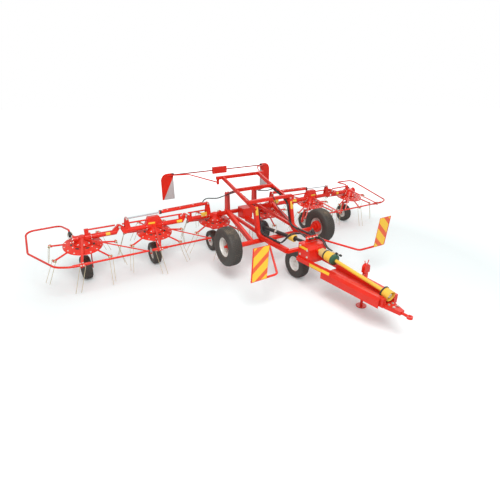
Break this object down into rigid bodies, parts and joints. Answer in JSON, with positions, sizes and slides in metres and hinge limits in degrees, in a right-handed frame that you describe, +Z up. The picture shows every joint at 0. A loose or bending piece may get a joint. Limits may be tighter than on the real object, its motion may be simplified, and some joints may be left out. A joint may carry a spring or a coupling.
{
  "type": "hay tedder",
  "caption": "Trailed hay tedder with folding wings of tined rotors on small wheels, a transport axle, drawbar, jack and warning boards.",
  "frame": {"origin": "on the ground under the middle of the machine's length and width", "axes": "+X to the machine's left across the working width, +Y to the rear, +Z up; the drawbar points to -Y"},
  "size_m": [8.2496, 5.37, 1.62],
  "materials": {
    "red_paint": "gloss orange-red enamel",
    "tine_steel": "satin cream coating",
    "tyre_rubber": "matt black rubber",
    "rim_paint": "light grey enamel",
    "board_stripes": "retroreflective film in yellow and orange-red stripes",
    "board_back": "gloss orange-red enamel",
    "guard_yellow": "satin yellow plastic",
    "guard_black": "satin black plastic",
    "rod_steel": "ground chrome"
  },
  "bodies": {
    "root": {"center_beam": "red_paint", "chassis_frame": "red_paint", "lifting_frame": "red_paint", "main_gearbox": "red_paint", "rear_driveshaft": "guard_black", "headstock": "red_paint", "drawbar": "red_paint", "drawbar_guard": "red_paint", "towing_eye": "red_paint", "pto_shaft_guard": "guard_yellow", "front_wheel_fork": "red_paint", "jack_tube": "red_paint", "light_bar": "red_paint", "rear_board_left": "board_back", "rear_board_right": "board_back", "warning_board_left": "board_stripes", "warning_board_right": "board_stripes", "board_arm_left": "red_paint", "board_arm_right": "red_paint"},
    "jack_leg": {"jack_leg": "red_paint"},
    "transport_axle": {"transport_axle": "red_paint"},
    "front_wheel": {"front_tyre": "tyre_rubber", "front_rim": "rim_paint"},
    "wing_inner_right": {"inner_beam_right": "red_paint", "inner_guard_right": "red_paint"},
    "wing_outer_right": {"outer_beam_right": "red_paint", "outer_guard_right": "red_paint"},
    "barrel_right": {"cylinder_barrel_right": "red_paint"},
    "rod_right": {"cylinder_rod_right": "rod_steel"},
    "transport_wheel_right": {"transport_tyre_right": "tyre_rubber", "transport_rim_right": "rim_paint"},
    "wing_inner_left": {"inner_beam_left": "red_paint", "inner_guard_left": "red_paint"},
    "wing_outer_left": {"outer_beam_left": "red_paint", "outer_guard_left": "red_paint"},
    "barrel_left": {"cylinder_barrel_left": "red_paint"},
    "rod_left": {"cylinder_rod_left": "rod_steel"},
    "transport_wheel_left": {"transport_tyre_left": "tyre_rubber", "transport_rim_left": "rim_paint"},
    "rotor_1": {"rotor_1": "red_paint", "tines_1": "tine_steel"},
    "rotor_wheel_1": {"rotor_wheel_1": "tyre_rubber"},
    "rotor_2": {"rotor_2": "red_paint", "tines_2": "tine_steel"},
    "rotor_wheel_2": {"rotor_wheel_2": "tyre_rubber"},
    "rotor_3": {"rotor_3": "red_paint", "tines_3": "tine_steel"},
    "rotor_wheel_3": {"rotor_wheel_3": "tyre_rubber"},
    "rotor_4": {"rotor_4": "red_paint", "tines_4": "tine_steel"},
    "rotor_wheel_4": {"rotor_wheel_4": "tyre_rubber"},
    "rotor_5": {"rotor_5": "red_paint", "tines_5": "tine_steel"},
    "rotor_wheel_5": {"rotor_wheel_5": "tyre_rubber"},
    "rotor_6": {"rotor_6": "red_paint", "tines_6": "tine_steel"},
    "rotor_wheel_6": {"rotor_wheel_6": "tyre_rubber"}
  },
  "joints": [
    {"name": "fold_inner_right", "type": "hinge", "parent": "root", "child": "wing_inner_right", "pos_m": [-1.3, 1.695, 0.93], "axis": [0, 1, 0], "range_deg": [0, 90]},
    {"name": "fold_outer_right", "type": "hinge", "parent": "wing_inner_right", "child": "wing_outer_right", "pos_m": [-2.6, 1.695, 0.93], "axis": [0, 1, 0], "range_deg": [0, 45]},
    {"name": "barrel_pivot_right", "type": "hinge", "parent": "root", "child": "barrel_right", "pos_m": [-0.8, 1.695, 1.1], "axis": [0, 1, 0], "range_deg": [0, 70.6]},
    {"name": "rod_slide_right", "type": "slide", "parent": "barrel_right", "child": "rod_right", "axis": [-0.9995, 0, -0.0303], "range_m": [-0.6, 0]},
    {"name": "transport_wheel_right_turn", "type": "hinge", "parent": "transport_axle", "child": "transport_wheel_right", "pos_m": [-1.07, 0.345, 0.669], "axis": [1, 0, 0], "continuous": true},
    {"name": "fold_inner_left", "type": "hinge", "parent": "root", "child": "wing_inner_left", "pos_m": [1.3, 1.695, 0.93], "axis": [0, -1, 0], "range_deg": [0, 90]},
    {"name": "fold_outer_left", "type": "hinge", "parent": "wing_inner_left", "child": "wing_outer_left", "pos_m": [2.6, 1.695, 0.93], "axis": [0, -1, 0], "range_deg": [0, 45]},
    {"name": "barrel_pivot_left", "type": "hinge", "parent": "root", "child": "barrel_left", "pos_m": [0.8, 1.695, 1.1], "axis": [0, -1, 0], "range_deg": [0, 70.6]},
    {"name": "rod_slide_left", "type": "slide", "parent": "barrel_left", "child": "rod_left", "axis": [0.9995, 0, -0.0303], "range_m": [-0.6, 0]},
    {"name": "transport_wheel_left_turn", "type": "hinge", "parent": "transport_axle", "child": "transport_wheel_left", "pos_m": [1.07, 0.345, 0.669], "axis": [1, 0, 0], "continuous": true},
    {"name": "axle_swing", "type": "hinge", "parent": "root", "child": "transport_axle", "pos_m": [0, 1.285, 0.97], "axis": [1, 0, 0], "range_deg": [0, 32]},
    {"name": "front_wheel_turn", "type": "hinge", "parent": "root", "child": "front_wheel", "pos_m": [0.08, -0.185, 0.275], "axis": [1, 0, 0], "continuous": true},
    {"name": "jack_slide", "type": "slide", "parent": "root", "child": "jack_leg", "axis": [0, 0, 1], "range_m": [0, 0.3]},
    {"name": "rotor_1_turn", "type": "hinge", "parent": "wing_outer_right", "child": "rotor_1", "pos_m": [-3.25, 1.695, 0.72], "axis": [0, -0.2079, 0.9781], "continuous": true},
    {"name": "rotor_wheel_1_turn", "type": "hinge", "parent": "wing_outer_right", "child": "rotor_wheel_1", "pos_m": [-3.25, 1.815, 0.22], "axis": [1, 0, 0], "continuous": true},
    {"name": "rotor_2_turn", "type": "hinge", "parent": "wing_inner_right", "child": "rotor_2", "pos_m": [-1.95, 1.695, 0.72], "axis": [0, -0.2079, 0.9781], "continuous": true},
    {"name": "rotor_wheel_2_turn", "type": "hinge", "parent": "wing_inner_right", "child": "rotor_wheel_2", "pos_m": [-1.95, 1.815, 0.22], "axis": [1, 0, 0], "continuous": true},
    {"name": "rotor_3_turn", "type": "hinge", "parent": "root", "child": "rotor_3", "pos_m": [-0.65, 1.695, 0.72], "axis": [0, -0.2079, 0.9781], "continuous": true},
    {"name": "rotor_wheel_3_turn", "type": "hinge", "parent": "root", "child": "rotor_wheel_3", "pos_m": [-0.65, 1.815, 0.22], "axis": [1, 0, 0], "continuous": true},
    {"name": "rotor_4_turn", "type": "hinge", "parent": "root", "child": "rotor_4", "pos_m": [0.65, 1.695, 0.72], "axis": [0, -0.2079, 0.9781], "continuous": true},
    {"name": "rotor_wheel_4_turn", "type": "hinge", "parent": "root", "child": "rotor_wheel_4", "pos_m": [0.65, 1.815, 0.22], "axis": [1, 0, 0], "continuous": true},
    {"name": "rotor_5_turn", "type": "hinge", "parent": "wing_inner_left", "child": "rotor_5", "pos_m": [1.95, 1.695, 0.72], "axis": [0, -0.2079, 0.9781], "continuous": true},
    {"name": "rotor_wheel_5_turn", "type": "hinge", "parent": "wing_inner_left", "child": "rotor_wheel_5", "pos_m": [1.95, 1.815, 0.22], "axis": [1, 0, 0], "continuous": true},
    {"name": "rotor_6_turn", "type": "hinge", "parent": "wing_outer_left", "child": "rotor_6", "pos_m": [3.25, 1.695, 0.72], "axis": [0, -0.2079, 0.9781], "continuous": true},
    {"name": "rotor_wheel_6_turn", "type": "hinge", "parent": "wing_outer_left", "child": "rotor_wheel_6", "pos_m": [3.25, 1.815, 0.22], "axis": [1, 0, 0], "continuous": true}
  ],
  "couplings": [
    {"joint": "fold_outer_right", "follows": "fold_inner_right", "ratio": 0.5},
    {"joint": "barrel_pivot_right", "follows": "fold_inner_right", "ratio": 0.7838},
    {"joint": "rod_slide_right", "follows": "fold_inner_right", "m_per_rad": -0.38176},
    {"joint": "fold_outer_left", "follows": "fold_inner_left", "ratio": 0.5},
    {"joint": "barrel_pivot_left", "follows": "fold_inner_left", "ratio": 0.7838},
    {"joint": "rod_slide_left", "follows": "fold_inner_left", "m_per_rad": -0.38176},
    {"joint": "rotor_1_turn", "follows": "rotor_3_turn", "ratio": 1},
    {"joint": "rotor_2_turn", "follows": "rotor_3_turn", "ratio": -1},
    {"joint": "rotor_4_turn", "follows": "rotor_3_turn", "ratio": -1},
    {"joint": "rotor_5_turn", "follows": "rotor_3_turn", "ratio": 1},
    {"joint": "rotor_6_turn", "follows": "rotor_3_turn", "ratio": -1}
  ]
}
